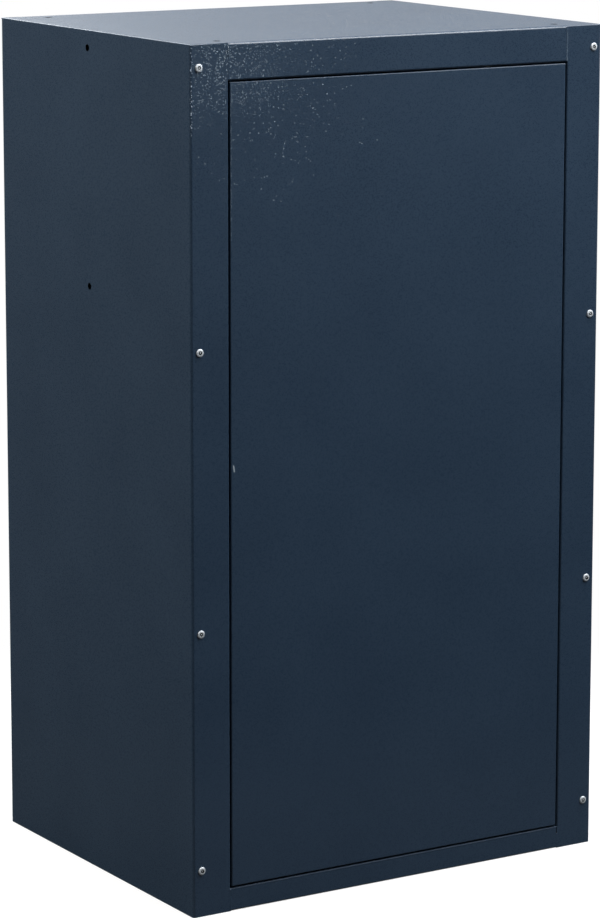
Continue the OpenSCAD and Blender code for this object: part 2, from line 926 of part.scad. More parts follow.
// Angle from the left front post to the latch
module latch_bracket() {
    arm_l = latch_x + web_x + housing_w / 2 + 1;
    color(ZINC)
        difference() {
            translate([-web_x, housing_y, latch_rise])
                rotate([90, 0, 0])
                    sheet_angle(latch_bracket_h, arm_l, latch_leg_l, latch_bracket_t, latch_bracket_r);
            latch_leg_holes(-web_x, -web_x + latch_bracket_t);
            translate([latch_x, arm_y - over, latch_rise])
                rotate([-90, 0, 0])
                    cylinder(r = bore_r + shank_gap, h = latch_bracket_t + 2 * over);
            screw_holes(arm_y, housing_y);
        }
}

module latch_bracket_rivets() {
    color(RIVET)
        for (z = [-latch_fix_z, latch_fix_z])
            translate([-web_x + latch_bracket_t, housing_y - latch_leg_fix, latch_rise + z])
                rotate([0, 90, 0])
                    small_rivet(latch_bracket_t + post_t);
}

// Two drillings along Y for the latch screws
module screw_holes(y0, y1) {
    for (z = [-latch_fix_z, latch_fix_z])
        translate([latch_x, y0 - over, latch_rise + z])
            rotate([-90, 0, 0])
                cylinder(r = screw_r + shank_gap, h = y1 - y0 + 2 * over);
}

// Plastic body of the touch latch, with its flange behind the bracket
module latch_housing() {
    color(PLASTIC)
        difference() {
            union() {
                translate([latch_x - housing_w / 2, housing_y, latch_rise - housing_flange_h / 2])
                    cube([housing_w, housing_flange_t, housing_flange_h]);
                translate([latch_x - housing_w / 2, housing_y, latch_rise - housing_h / 2])
                    cube([housing_w, housing_l, housing_h]);
            }
            translate([latch_x, housing_y - over, latch_rise])
                rotate([-90, 0, 0])
                    cylinder(r = bore_r, h = bore_end_y - housing_y + over);
            screw_holes(housing_y, housing_y + housing_flange_t);
        }
}

module latch_screws() {
    color(STEEL)
        for (z = [-latch_fix_z, latch_fix_z])
            translate([latch_x, arm_y, latch_rise + z])
                rotate([90, 0, 0])
                    slotted_screw(latch_bracket_t + housing_flange_t + 2);
}

module latch_magnet() {
    color(STEEL)
        translate([latch_x, nose_y, latch_rise])
            rotate([-90, 0, 0])
                cylinder(r = magnet_r, h = magnet_l);
}

module latch_plunger() {
    color(PLASTIC)
        translate([latch_x, plunger_y, latch_rise])
            rotate([-90, 0, 0])
                cylinder(r = plunger_r, h = plunger_l);
}

// Points of the spring wire's ring at step i of n, round an axis along z
function wire_ring(i, n, travel) = [
    for (k = [0 : spring_sides - 1])
        let (a = 360 * spring_turns * i / n, b = 360 * k / spring_sides, q = spring_r + wire_r * cos(b))
            [q * cos(a), q * sin(a), wire_r + travel * i / n + wire_r * sin(b)]
];

// Coil spring between the plunger and the end of the bore
module latch_spring() {
    n = spring_turns * spring_steps;
    travel = bore_end_y - plunger_end_y - 2 * wire_r;
    points = [for (i = [0 : n]) each wire_ring(i, n, travel)];
    sides = [
        for (i = [0 : n - 1], k = [0 : spring_sides - 1])
            let (a = i * spring_sides + k, b = i * spring_sides + (k + 1) % spring_sides)
                each [[a, a + spring_sides, b], [b, a + spring_sides, b + spring_sides]]
    ];
    first = [for (k = [0 : spring_sides - 1]) k];
    last = [for (k = [spring_sides - 1 : -1 : 0]) n * spring_sides + k];
    color(STEEL)
        translate([latch_x, plunger_end_y, latch_rise])
            rotate([-90, 0, 0])
                polyhedron(points, concat(sides, [first], [last]));
}

// Door stops

// Angle on the top rail's lip, with its leg hanging behind the door
module door_stop_top() {
    color(COAT)
        translate([stop_x, stop_leg_y + stop_t, open_z1 + sheet_t + stop_t])
            mirror([0, 0, 1])
                rotate(-90)
                    sheet_angle(stop_w, stop_foot_l, stop_leg_l, stop_t, stop_bend_r);
}

// Angle on the cabinet floor, with its leg standing behind the door
module door_stop_bottom() {
    color(COAT)
        translate([stop_x, stop_leg_y, open_z0])
            rotate(90)
                sheet_angle(stop_w, stop_foot_l, stop_leg_l, stop_t, stop_bend_r);
}

// Rubber bumpers in front of the two stop legs, in line with the door's lips
module door_bumpers() {
    lip_mid = door_lip_w / 2;
    color(RUBBER)
        for (z = [door_z0 + lip_mid, door_z1 - lip_mid])
            translate([stop_x, stop_leg_y - bumper_t, z])
                rotate([-90, 0, 0])
                    cylinder(r = bumper_r, h = bumper_t);
}

side_panel_left();
side_panel_right();
top_panel();
bottom_panel();
rear_panel();
front_post_left();
front_post_right();
rear_post_left();
rear_post_right();
front_rivets_left();
front_rivets_right();
rear_rivets_left();
rear_rivets_right();
shelf_lower();
shelf_upper();
shelf_clips_lower();
shelf_clips_upper();
hinge_bracket_top();
hinge_bracket_bottom();
hinge_bush_top();
hinge_bush_bottom();
latch_bracket();
latch_bracket_rivets();
latch_housing();
latch_screws();
latch_spring();
latch_plunger();
latch_magnet();
door_stop_top();
door_stop_bottom();
door_bumpers();
door_pan();
door_stiffener();
hinge_plate_top();
hinge_plate_bottom();
hinge_pin_top();
hinge_pin_bottom();
strike_plate();
strike_rivets();
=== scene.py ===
import math
import random

import bmesh
import bpy
from mathutils import Matrix, Quaternion, Vector


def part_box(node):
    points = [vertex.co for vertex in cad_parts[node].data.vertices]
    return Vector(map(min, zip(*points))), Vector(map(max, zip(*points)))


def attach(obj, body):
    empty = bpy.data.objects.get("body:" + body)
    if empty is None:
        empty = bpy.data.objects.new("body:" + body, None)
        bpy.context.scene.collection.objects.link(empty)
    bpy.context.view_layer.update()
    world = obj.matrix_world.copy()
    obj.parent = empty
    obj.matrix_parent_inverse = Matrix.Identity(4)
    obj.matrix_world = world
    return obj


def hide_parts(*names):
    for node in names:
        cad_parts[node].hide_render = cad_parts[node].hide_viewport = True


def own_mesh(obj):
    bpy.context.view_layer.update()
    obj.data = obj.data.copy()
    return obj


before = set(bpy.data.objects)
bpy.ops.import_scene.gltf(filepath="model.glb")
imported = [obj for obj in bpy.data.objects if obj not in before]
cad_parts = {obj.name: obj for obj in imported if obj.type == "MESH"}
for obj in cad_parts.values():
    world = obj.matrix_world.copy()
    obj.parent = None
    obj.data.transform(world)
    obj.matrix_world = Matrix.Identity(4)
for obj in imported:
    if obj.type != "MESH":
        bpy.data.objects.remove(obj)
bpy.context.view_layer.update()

# Workshop cabinet of folded sheet steel: finishes, edges, rivets, weld seams, latch spring, studio and camera.
# Lengths are in metres, in the CAD model's own frame. The front faces -Y.
MM = 0.001
HEIGHT = 900 * MM
HALF_WIDTH = 252.5 * MM
REAR_Y = 202.5 * MM
FRONT_Y = -REAR_Y
SHEET = 1.2 * MM

scene = bpy.context.scene
scene.view_settings.view_transform = "Standard"


# Helpers

def srgb(code):
    """Linear colour of an sRGB hex code such as "2f3d4b"."""
    parts = [int(code[i:i + 2], 16) / 255 for i in (0, 2, 4)]
    return (*[c / 12.92 if c <= 0.04045 else ((c + 0.055) / 1.055) ** 2.4 for c in parts], 1)


def grey(value):
    """Plain grey as a colour."""
    return (value, value, value, 1)


def add_node(tree, kind, inputs=None, **settings):
    """Adds a node. inputs holds values or other nodes' outputs by socket, settings are its own options."""
    node = tree.nodes.new(kind)
    for name, value in settings.items():
        setattr(node, name, value)
    for socket, value in (inputs or {}).items():
        if isinstance(value, bpy.types.NodeSocket):
            tree.links.new(value, node.inputs[socket])
        else:
            node.inputs[socket].default_value = value
    return node


def new_material(name, **shader):
    """A material with one Principled shader: gives it, its node tree, the shader and object coordinates."""
    material = bpy.data.materials.new(name)
    material.use_nodes = True
    tree = material.node_tree
    tree.nodes.clear()
    surface = add_node(tree, "ShaderNodeBsdfPrincipled", {k.replace("_", " "): v for k, v in shader.items()})
    add_node(tree, "ShaderNodeOutputMaterial", {"Surface": surface.outputs["BSDF"]})
    place = add_node(tree, "ShaderNodeTexCoord").outputs["Object"]
    return material, tree, surface, place


# Finishes

CLOUD_RANGE = {"From Min": 0.3, "From Max": 0.7}


def marked(tree, place, start, end, radius, patchiness=0, amount=1.0):
    """How far the coat is marked beside the line from start to end, from 0 to 1.

    patchiness 0 gives a plain rod shape, 1 one ragged patch, and higher ones separate flecks. The mark is full
    out to radius * (amount - fade) from the line and ends at radius * amount.
    """
    fade = 0.3
    fleck_size = 1.3 * MM
    run = Vector(end) - Vector(start)
    reach = add_node(tree, "ShaderNodeVectorMath", {0: place, 1: start}, operation="SUBTRACT").outputs["Vector"]
    along = add_node(tree, "ShaderNodeVectorMath", {0: reach, 1: run / run.length_squared},
                     operation="DOT_PRODUCT").outputs["Value"]
    along = add_node(tree, "ShaderNodeClamp", {"Value": along}).outputs["Result"]
    nearest = add_node(tree, "ShaderNodeVectorMath", {0: run, "Scale": along},
                       operation="SCALE").outputs["Vector"]
    away = add_node(tree, "ShaderNodeVectorMath", {0: reach, 1: nearest}, operation="DISTANCE").outputs["Value"]
    flecks = add_node(tree, "ShaderNodeTexNoise", {"Vector": place, "Scale": 1 / fleck_size, "Detail": 1})
    flecks = add_node(tree, "ShaderNodeMath", {0: flecks.outputs["Fac"], 1: patchiness,
                                               2: amount - patchiness / 2}, operation="MULTIPLY_ADD")
    score = add_node(tree, "ShaderNodeMath", {0: away, 1: -1 / radius, 2: flecks.outputs["Value"]},
                     operation="MULTIPLY_ADD").outputs["Value"]
    return add_node(tree, "ShaderNodeMapRange", {"Value": score, "From Max": fade}).outputs["Result"]


def powder_coat(name, marks=()):
    """Fine-texture polyester powder coat, dark steel blue, sprayed and baked on steel.

    The eye sees an even satin colour with faint clouds. Some of the texture's hollows have smooth, glossy
    floors that lean a degree or so, and they flash where a small lamp is near its mirror angle. marks are
    places without gloss, each in its own tone: a chip of pale primer, painted glints as pale flecks on edges,
    a fold and seams, a bend darkened as painted shade, and painted shade on the walls and rims of punched
    holes.
    """
    cloud_size = 90 * MM
    grain = 0.9 * MM       # the real texture is about 0.4 mm, which is too fine for the picture
    grain_depth = 0.006 * MM
    hollow_size = 1.1 * MM
    smooth_share = 0.45
    lean = 0.11
    satin, smooth_floor = 0.4, 0.07
    coat_gloss, mark_gloss = 0.5, 0.05
    material, tree, surface, place = new_material(name, IOR=1.5)

    clouds = add_node(tree, "ShaderNodeTexNoise", {"Vector": place, "Scale": 1 / cloud_size, "Detail": 3})
    thick = add_node(tree, "ShaderNodeMapRange", {"Value": clouds.outputs["Fac"], **CLOUD_RANGE})
    colour = add_node(tree, "ShaderNodeMix", {"Factor": thick.outputs["Result"], "A": srgb("233548"),
                                              "B": srgb("27394c")}, data_type="RGBA").outputs["Result"]
    gloss = coat_gloss
    for tone, *mark in marks:
        mask = marked(tree, place, *mark)
        colour = add_node(tree, "ShaderNodeMix", {"Factor": mask, "A": colour, "B": srgb(tone)},
                          data_type="RGBA").outputs["Result"]
        gloss = add_node(tree, "ShaderNodeMix", {"Factor": mask, "A": gloss, "B": mark_gloss}).outputs["Result"]
    tree.links.new(colour, surface.inputs["Base Color"])
    if marks:
        tree.links.new(gloss, surface.inputs["Specular IOR Level"])

    hollows = add_node(tree, "ShaderNodeTexVoronoi", {"Vector": place, "Scale": 1 / hollow_size}).outputs
    chance = add_node(tree, "ShaderNodeSeparateColor", {"Color": hollows["Color"]}).outputs
    chosen = add_node(tree, "ShaderNodeMath", {0: chance["Red"], 1: 1 - smooth_share},
                      operation="GREATER_THAN").outputs["Value"]
    inside = add_node(tree, "ShaderNodeMath", {0: hollows["Distance"], 1: 0.5},
                      operation="LESS_THAN").outputs["Value"]
    smooth = add_node(tree, "ShaderNodeMath", {0: chosen, 1: inside}, operation="MULTIPLY").outputs["Value"]
    roughness = add_node(tree, "ShaderNodeMix", {"Factor": smooth, "A": satin, "B": smooth_floor})
    tree.links.new(roughness.outputs["Result"], surface.inputs["Roughness"])

    texture = add_node(tree, "ShaderNodeTexNoise", {"Vector": place, "Scale": 1 / grain, "Detail": 1})
    bump = add_node(tree, "ShaderNodeBump", {"Height": texture.outputs["Fac"],
                                             "Distance": grain_depth}).outputs["Normal"]
    way = add_node(tree, "ShaderNodeTexWhiteNoise", {"Vector": hollows["Position"]}).outputs["Color"]
    way = add_node(tree, "ShaderNodeVectorMath", {0: way, 1: (0.5, 0.5, 0.5)},
                   operation="SUBTRACT").outputs["Vector"]
    amount = add_node(tree, "ShaderNodeMath", {0: chance["Green"], 1: lean}, operation="MULTIPLY")
    straight = add_node(tree, "ShaderNodeNewGeometry").outputs["Normal"]
    leaning = add_node(tree, "ShaderNodeVectorMath", {0: way, 1: amount.outputs["Value"], 2: straight},
                       operation="MULTIPLY_ADD").outputs["Vector"]
    normal = add_node(tree, "ShaderNodeMix", {"Factor": smooth, "A": bump, "B": leaning},
                      data_type="VECTOR").outputs["Result"]
    normal = add_node(tree, "ShaderNodeVectorMath", {0: normal}, operation="NORMALIZE").outputs["Vector"]
    tree.links.new(normal, surface.inputs["Normal"])
    return material


def cloudy_surface(name, dark, light, patch, texture, depth, **shader):
    """A material whose colour drifts between two tones in patches, with a fine texture of a given depth.

    Gives the material, its node tree, the shader and the patches' noise.
    """
    material, tree, surface, place = new_material(name, **shader)
    clouds = add_node(tree, "ShaderNodeTexNoise", {"Vector": place, "Scale": 1 / patch, "Detail": 3})
    clouds = clouds.outputs["Fac"]
    share = add_node(tree, "ShaderNodeMapRange", {"Value": clouds, **CLOUD_RANGE}).outputs["Result"]
    colour = add_node(tree, "ShaderNodeMix", {"Factor": share, "A": srgb(dark), "B": srgb(light)},
                      data_type="RGBA")
    tree.links.new(colour.outputs["Result"], surface.inputs["Base Color"])
    grain = add_node(tree, "ShaderNodeTexNoise", {"Vector": place, "Scale": 1 / texture}).outputs["Fac"]
    bump = add_node(tree, "ShaderNodeBump", {"Height": grain, "Distance": depth})
    tree.links.new(bump.outputs["Normal"], surface.inputs["Normal"])
    return material, tree, surface, clouds


def aluminium():
    """Blind rivets of bare aluminium, drawn and pressed: pale and dull-bright, with faint draw marks.

    The well round the broken mandrel and the lip round its mouth are painted near-black as shade. The mesh says
    where it is.
    """
    material, tree, surface, _ = cloudy_surface("rivet_aluminium", "c2c8cd", "dde2e6", 1.5 * MM, 0.5 * MM,
                                                0.02 * MM, Metallic=1.0, Roughness=0.7)
    clean = surface.inputs["Base Color"].links[0].from_socket
    well = add_node(tree, "ShaderNodeAttribute", attribute_name="well_shade").outputs["Fac"]
    # Painted shade: the well round the mandrel is painted near-black
    colour = add_node(tree, "ShaderNodeMix", {"Factor": well, "A": clean, "B": srgb("16181a")},
                      data_type="RGBA")
    tree.links.new(colour.outputs["Result"], surface.inputs["Base Color"])
    return material


def zinc_plate():
    """Bright zinc plate on pressed steel: silver with a cool cast, duller in some patches than in others."""
    material, tree, surface, clouds = cloudy_surface("zinc_plate", "9ca3a9", "c3c8cb", 9 * MM, 0.6 * MM,
                                                     0.01 * MM, Metallic=1.0)
    dull = add_node(tree, "ShaderNodeMapRange", {"Value": clouds, "To Min": 0.28, "To Max": 0.46})
    tree.links.new(dull.outputs["Result"], surface.inputs["Roughness"])
    return material


def bright_steel():
    """Turned and drawn steel: fine rings round it, brighter than the zinc."""
    material, tree, surface, place = new_material("turned_steel", Base_Color=srgb("a9adaf"), Metallic=1.0,
                                                  Roughness=0.24)
    rings = add_node(tree, "ShaderNodeTexWave", {"Vector": place, "Scale": 1 / (2.5 * MM), "Distortion": 1.5},
                     bands_direction="Z")
    bump = add_node(tree, "ShaderNodeBump", {"Height": rings.outputs["Fac"], "Distance": 0.004 * MM})
    tree.links.new(bump.outputs["Normal"], surface.inputs["Normal"])
    return material


def moulded(name, dark, light, depth, **shader):
    """Moulded plastic or rubber: an even colour with faint flow clouds and the mould's spark-eroded texture."""
    return cloudy_surface(name, dark, light, 6 * MM, 0.4 * MM, depth, **shader)[0]


FINISHES = {
    "powder_coat": powder_coat("powder_coat"),
    "rivet_metal": aluminium(),
    "zinc_plate": zinc_plate(),
    "bright_steel": bright_steel(),
    "nylon": moulded("nylon_black", "1b1c1d", "232426", 0.01 * MM, IOR=1.53, Roughness=0.42),
    "black_plastic": moulded("abs_black", "1a1c1d", "232527", 0.015 * MM, IOR=1.53, Roughness=0.38),
    "black_rubber": moulded("rubber_black", "131313", "1c1c1c", 0.03 * MM, IOR=1.52, Roughness=0.75),
}

# Marks in the coat where the photograph shows them: tone, from, to, radius, patchiness and amount
# Pale primer for the chip by the latch, also painted as glints on the scar and seam at the top left
PRIMER_AND_GLINTS = "99a2a9"
# Pale tone painted in as glints along the door's left edge and the right-hand seam
PAINTED_GLINTS = "5d6a76"
# Dark tone painted as shade on the bottom rail's upper bend
BEND_SHADE = "222e3c"
# Near-black painted as shade in the punched holes, on rings round them and at the foot of the relief slit
PAINTED_SHADE = "0b0d11"
# Pale blue-white painted as the glints along the top of the left fold
PAINTED_FOLD_GLINTS = "bccbdd"

# Painted shade: the walls of the top's punched holes and a ring round each are painted near-black, which also
# makes the holes look wider than the CAD ones
TOP_HOLES = [
    (PAINTED_SHADE, (x, y, HEIGHT - SHEET), (x, y, HEIGHT), 2.7 * MM, 0, 1.65)
    for x in (-207.5 * MM, 207.5 * MM)
    for y in (-178.5 * MM, 178.5 * MM)
]
# Painted shade on the walls and rims of the side panels' holes
SIDE_HOLES = {
    side: [
        (PAINTED_SHADE, (side * (HALF_WIDTH - SHEET), 8.5 * MM, z), (side * HALF_WIDTH, 8.5 * MM, z),
         2 * MM, 0, 2.05)
        for z in (881.5 * MM, 631.5 * MM)
    ]
    for side in (-1, 1)
}
# Painted shade: the bottom rail's upper bend, in the door's lower gap, is painted dark and without gloss
BOTTOM_BEND = (
    BEND_SHADE, (-208 * MM, FRONT_Y + 0.8 * MM, 24 * MM), (208 * MM, FRONT_Y + 0.8 * MM, 24 * MM), 2.2 * MM)
LATCH_CHIP = (
    PRIMER_AND_GLINTS, (-203.2 * MM, FRONT_Y, 470.2 * MM), (-202.3 * MM, FRONT_Y, 464.4 * MM), 0.9 * MM, 1, 1.0)
# Painted glints: pale flecks along the door's left edge
DOOR_EDGE_GLINTS = (
    PAINTED_GLINTS, (-205.2 * MM, FRONT_Y, 845 * MM), (-205.2 * MM, FRONT_Y, 700 * MM), 0.9 * MM, 6, 0.0)
# Painted glints: pale flecks along the upper part of the left fold
LEFT_FOLD_GLINTS = (
    PAINTED_FOLD_GLINTS, (-250.8 * MM, FRONT_Y + 0.1 * MM, 898 * MM), (-250.8 * MM, FRONT_Y + 0.1 * MM, 810 * MM),
    1.3 * MM, 6, -0.1)
# Grinding scar below the top-left seam; its pale flecks are painted glints
STILE_SCAR_GLINTS = (
    PRIMER_AND_GLINTS, (-209.4 * MM, FRONT_Y, 893 * MM), (-214.3 * MM, FRONT_Y, 878 * MM), 0.8 * MM, 4, 0.3)

MARKED_COATS = {
    "top_panel": powder_coat("powder_coat_top", TOP_HOLES),
    "side_panel_right": powder_coat("powder_coat_right", SIDE_HOLES[1]),
    "bottom_panel": powder_coat("powder_coat_bottom", [BOTTOM_BEND]),
    "door_pan": powder_coat("powder_coat_door", [LATCH_CHIP, DOOR_EDGE_GLINTS]),
    "side_panel_left": powder_coat("powder_coat_left", [*SIDE_HOLES[-1], LEFT_FOLD_GLINTS, STILE_SCAR_GLINTS]),
}

for name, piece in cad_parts.items():
    for slot in piece.material_slots:
        slot.material = MARKED_COATS.get(name) or FINISHES[slot.material.name.split(".")[0]]


# Edges of the CAD pieces

TOP_RIM_WIDTH = 0.9 * MM
EDGE_WIDTHS = {        # in millimetres
    "top_panel": 0.12, "side_panel_left": 0.12, "side_panel_right": 0.12, "bottom_panel": 0.35,
    "rear_panel": 0.25, "door_pan": 0.25, "door_stiffener": 0.25, "shelf_lower": 0.25, "shelf_upper": 0.25,
    "front_post_left": 0.3, "front_post_right": 0.3, "rear_post_left": 0.3, "rear_post_right": 0.3,
    "door_stop_top": 0.3, "door_stop_bottom": 0.3, "shelf_clips_lower": 0.3, "shelf_clips_upper": 0.3,
    "hinge_bracket_top": 0.4, "hinge_bracket_bottom": 0.4, "hinge_plate_top": 0.4, "hinge_plate_bottom": 0.4,
    "latch_bracket": 0.3, "strike_plate": 0.3, "latch_housing": 0.6, "latch_plunger": 0.5, "latch_magnet": 0.2,
    "latch_screws": 0.15, "strike_rivets": 0.2, "latch_bracket_rivets": 0.2, "door_bumpers": 0.6,
    "hinge_pin_top": 0.3, "hinge_pin_bottom": 0.3, "hinge_bush_top": 0.2, "hinge_bush_bottom": 0.2,
}


def soften_edges(piece, width, rim_width=None, on_rim=None):
    """Breaks a CAD piece's sharp edges, as deburring and the coat do. on_rim picks corners of a rounder rim."""
    weld = piece.modifiers.new("join", "WELD")
    weld.merge_threshold = 0.001 * MM
    if on_rim:
        group = piece.vertex_groups.new(name="rim")
        group.add([corner.index for corner in piece.data.vertices if on_rim(corner.co)], 1.0, "REPLACE")
        rim = piece.modifiers.new("rounded_rim", "BEVEL")
        rim.width = rim_width
        rim.segments = 3
        rim.limit_method = "VGROUP"
        rim.vertex_group = group.name
    bevel = piece.modifiers.new("broken_edges", "BEVEL")
    bevel.width = width
    bevel.segments = 2
    bevel.limit_method = "ANGLE"
    bevel.angle_limit = math.radians(50)
    bevel.use_clamp_overlap = True
    shade = piece.modifiers.new("shade", "WEIGHTED_NORMAL")
    shade.keep_sharp = False


def on_top_rim(corner):
    """Whether a corner of the top panel lies on the outline of its upper face."""
    slack = 0.1 * MM
    at_side = abs(corner.x) > HALF_WIDTH - slack or abs(corner.y) > REAR_Y - slack
    return at_side and corner.z > HEIGHT - slack


for name, width in EDGE_WIDTHS.items():
    if name == "top_panel":
        soften_edges(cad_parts[name], width * MM, TOP_RIM_WIDTH, on_top_rim)
    else:
        soften_edges(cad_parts[name], width * MM)


# Making pieces

def closed_tube(mesh, rows):
    """Joins rows of corners, each row a ring, into a tube with closed ends."""
    for near, far in zip(rows, rows[1:]):
        for k in range(len(near)):
            n = (k + 1) % len(near)
            mesh.faces.new((near[k], near[n], far[n], far[k]))
    mesh.faces.new(rows[0])
    mesh.faces.new(list(reversed(rows[-1])))


def finished_piece(name, mesh, body, slot, material, *nodes):
    """Makes an object of a mesh, smooth-shaded, riding on a body and standing for CAD nodes."""
    bmesh.ops.recalc_face_normals(mesh, faces=mesh.faces)
    for face in mesh.faces:
        face.smooth = True
    data = bpy.data.meshes.new(name)
    mesh.to_mesh(data)
    mesh.free()
    piece = bpy.data.objects.new(name, data)
    scene.collection.objects.link(piece)
    data.materials.append(material)
    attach(piece, body)
    if nodes:
        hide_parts(*nodes)
    return piece


# Rivets, with their profile in millimetres

RIVET_X = 242.4 * MM
RIVET_HEIGHTS = [z * MM for z in (49.0, 299.5, 590.0, 876.4)]
FRONT_GRIP = 2.4
REAR_GRIP = 3.3
STUB_RADIUS = 0.87
# Band round the mandrel, in millimetres from the axis, that is painted near-black as shade
WELL_FROM, WELL_TO = 0.84, 1.85
STEPS_ROUND = 40


def rivet_profile(grip):
    """Half outline of a set blind rivet, from the mandrel's broken end out over the head and back to its bulb.

    Distance from the axis and height above the sheet.
    """
    return [(0, 1.15), (0.4, 1.15), (0.68, 1.08), (0.82, 0.94), (0.86, 0.75), (0.88, 0.3),
            (1.0, 0.22), (1.3, 0.22), (1.45, 0.3), (1.55, 0.9), (1.64, 1.2), (1.8, 1.34), (2.0, 1.39),
            (2.3, 1.39), (2.8, 1.35), (3.4, 1.26), (3.75, 1.12), (3.96, 0.92), (4.1, 0.68), (4.18, 0.42),
            (4.2, 0.24), (4.12, 0.08), (3.9, 0.0), (2.0, 0.0), (2.0, -grip),
            (2.75, -grip - 0.25), (2.85, -grip - 1.0), (2.6, -grip - 2.3), (1.5, -grip - 2.9), (0, -grip - 2.9)]


def turned(mesh, profile, place, well_shade):
    """Turns a profile round its axis and puts the closed form at a place.

    The last argument is the mesh's layer that marks the well round the mandrel, which is painted as shade.
    """
    rings = []
    for r, h in profile:
        angles = [2 * math.pi * k / STEPS_ROUND for k in range(STEPS_ROUND)] if r > 0 else [0]
        ring = [mesh.verts.new(place @ Vector((r * MM * math.cos(a), r * MM * math.sin(a), h * MM)))
                for a in angles]
        for corner in ring:
            corner[well_shade] = 1.0 if WELL_FROM < r < WELL_TO and h > 0 else 0.0
        rings.append(ring)
    for low, high in zip(rings, rings[1:]):
        for k in range(STEPS_ROUND):
            n = (k + 1) % STEPS_ROUND
            corners = [low[k % len(low)], low[n % len(low)], high[n % len(high)], high[k % len(high)]]
            mesh.faces.new(list(dict.fromkeys(corners)))


def rivet_column(name, node, x, y, facing, grip, seed):
    """Four blind rivets at one corner of the carcass, facing 1 at the front and -1 at the rear.

    No two mandrels broke off quite alike.
    """
    chance = random.Random(seed)
    mesh = bmesh.new()
    well_shade = mesh.verts.layers.float.new("well_shade")
    for z in RIVET_HEIGHTS:
        stub = chance.uniform(-0.2, 0.15)
        profile = [(r, h + stub) if r < STUB_RADIUS else (r, h) for r, h in rivet_profile(grip)]
        spin = Matrix.Rotation(chance.uniform(0, 6), 4, "Z")
        turn = Matrix.Rotation(math.radians(90 * facing), 4, "X") @ spin
        turned(mesh, profile, Matrix.Translation((x, y, z)) @ turn, well_shade)
    finished_piece(name, mesh, "cabinet", "rivet_metal", FINISHES["rivet_metal"], node)


rivet_column("rivets_front_left", "front_rivets_left", -RIVET_X, FRONT_Y, 1, FRONT_GRIP, 1)
rivet_column("rivets_front_right", "front_rivets_right", RIVET_X, FRONT_Y, 1, FRONT_GRIP, 2)
rivet_column("rivets_rear_left", "rear_rivets_left", -RIVET_X, REAR_Y, -1, REAR_GRIP, 3)
rivet_column("rivets_rear_right", "rear_rivets_right", RIVET_X, REAR_Y, -1, REAR_GRIP, 4)


# Weld seams between the rails and the stiles, a backing behind the relief slit, and the rear panel's lower
# joint

SEAM_X = 207.92 * MM
TOP_SEAM = (862.6 * MM, 899.2 * MM)
RIGHT_RELIEF_END = 17 * MM
SEAM_COAT = powder_coat("powder_coat_seam", [
    # Painted glints: pale flecks along the right-hand seam
    (PAINTED_GLINTS, (SEAM_X, FRONT_Y, 898 * MM), (SEAM_X, FRONT_Y, 863 * MM), 0.9 * MM, 6, 0.3),
    # Painted glints at the top of the left-hand seam, in the primer tone
    (PRIMER_AND_GLINTS, (-SEAM_X, FRONT_Y, 896 * MM), (-SEAM_X, FRONT_Y, 888 * MM), 0.8 * MM, 4, 0.3),
    # Painted shade at the foot of the relief slit under the door's bottom-right corner
    (PAINTED_SHADE, (SEAM_X - 1 * MM, FRONT_Y + 0.3 * MM, RIGHT_RELIEF_END + 0.2 * MM),
     (SEAM_X + 1 * MM, FRONT_Y + 0.3 * MM, RIGHT_RELIEF_END + 0.2 * MM), 0.8 * MM)])
REAR_SEAL_Y = 200.5 * MM
REAR_SEAL_Z = 24.4 * MM
REAR_SEAL_X = 240 * MM
REAR_SEAL_RADIUS = 0.5 * MM


def weld_seam(name, x, z_low, z_high, proud, seed, setback=0.0):
    """Ground-down butt weld between a rail and a stile: a low, slightly uneven ridge, with pale glints painted
    on in places.

    setback is how far it lies behind the front face.
    """
    y = FRONT_Y + setback
    chance = random.Random(seed)
    half_width = 0.9 * MM
    sunk = 0.5 * MM
    step = 1.2 * MM
    across = 6
    count = int((z_high - z_low) / step)
    mesh = bmesh.new()
    rows = []
    for i in range(count + 1):
        z = z_low + (z_high - z_low) * i / count
        high = proud * chance.uniform(0.55, 1.0)
        lean = chance.uniform(-0.15, 0.15) * MM
        row = []
        for k in range(across + 1):
            t = 2 * k / across - 1
            edge = 1 - t * t
            row.append(mesh.verts.new((x + t * half_width + lean * edge, y - high * edge, z)))
        row.append(mesh.verts.new((x + half_width, y + sunk, z)))
        row.append(mesh.verts.new((x - half_width, y + sunk, z)))
        rows.append(row)
    closed_tube(mesh, rows)
    finished_piece(name, mesh, "cabinet", "powder_coat", SEAM_COAT)


def rear_seal():
    """Run of coat that closes the joint between the rear panel's lower edge and the cabinet's floor."""
    mesh = bmesh.new()
    place = Matrix.Translation((0, REAR_SEAL_Y, REAR_SEAL_Z)) @ Matrix.Rotation(math.radians(90), 4, "Y")
    bmesh.ops.create_cone(mesh, cap_ends=True, segments=16, radius1=REAR_SEAL_RADIUS, radius2=REAR_SEAL_RADIUS,
                          depth=2 * REAR_SEAL_X, matrix=place)
    finished_piece("rear_seal", mesh, "cabinet", "powder_coat", FINISHES["powder_coat"])


weld_seam("weld_seam_top_left", -SEAM_X, *TOP_SEAM, 0.16 * MM, 11)
weld_seam("weld_seam_top_right", SEAM_X, *TOP_SEAM, 0.16 * MM, 12)
weld_seam("weld_seam_bottom_left", -SEAM_X, 0.4 * MM, 24.0 * MM, 0.05 * MM, 13)
weld_seam("weld_seam_bottom_right", SEAM_X, 0.4 * MM, RIGHT_RELIEF_END, 0.05 * MM, 14)
# Coat-coloured piece set behind the relief slit under the door's bottom-right corner, so that the slit shows as
# shade
weld_seam("relief_slit_backing", SEAM_X, 14.0 * MM, 24.0 * MM, 0.05 * MM, 15, 0.9 * MM)
rear_seal()


# Latch spring

SPRING_WIRE = 0.35 * MM        # radius
SPRING_TURNS = 7
SPRING_CLOSED_TURNS = 1.0      # at each end, lying close
SPRING_STEPS = 24              # for each turn
WIRE_SIDES = 10


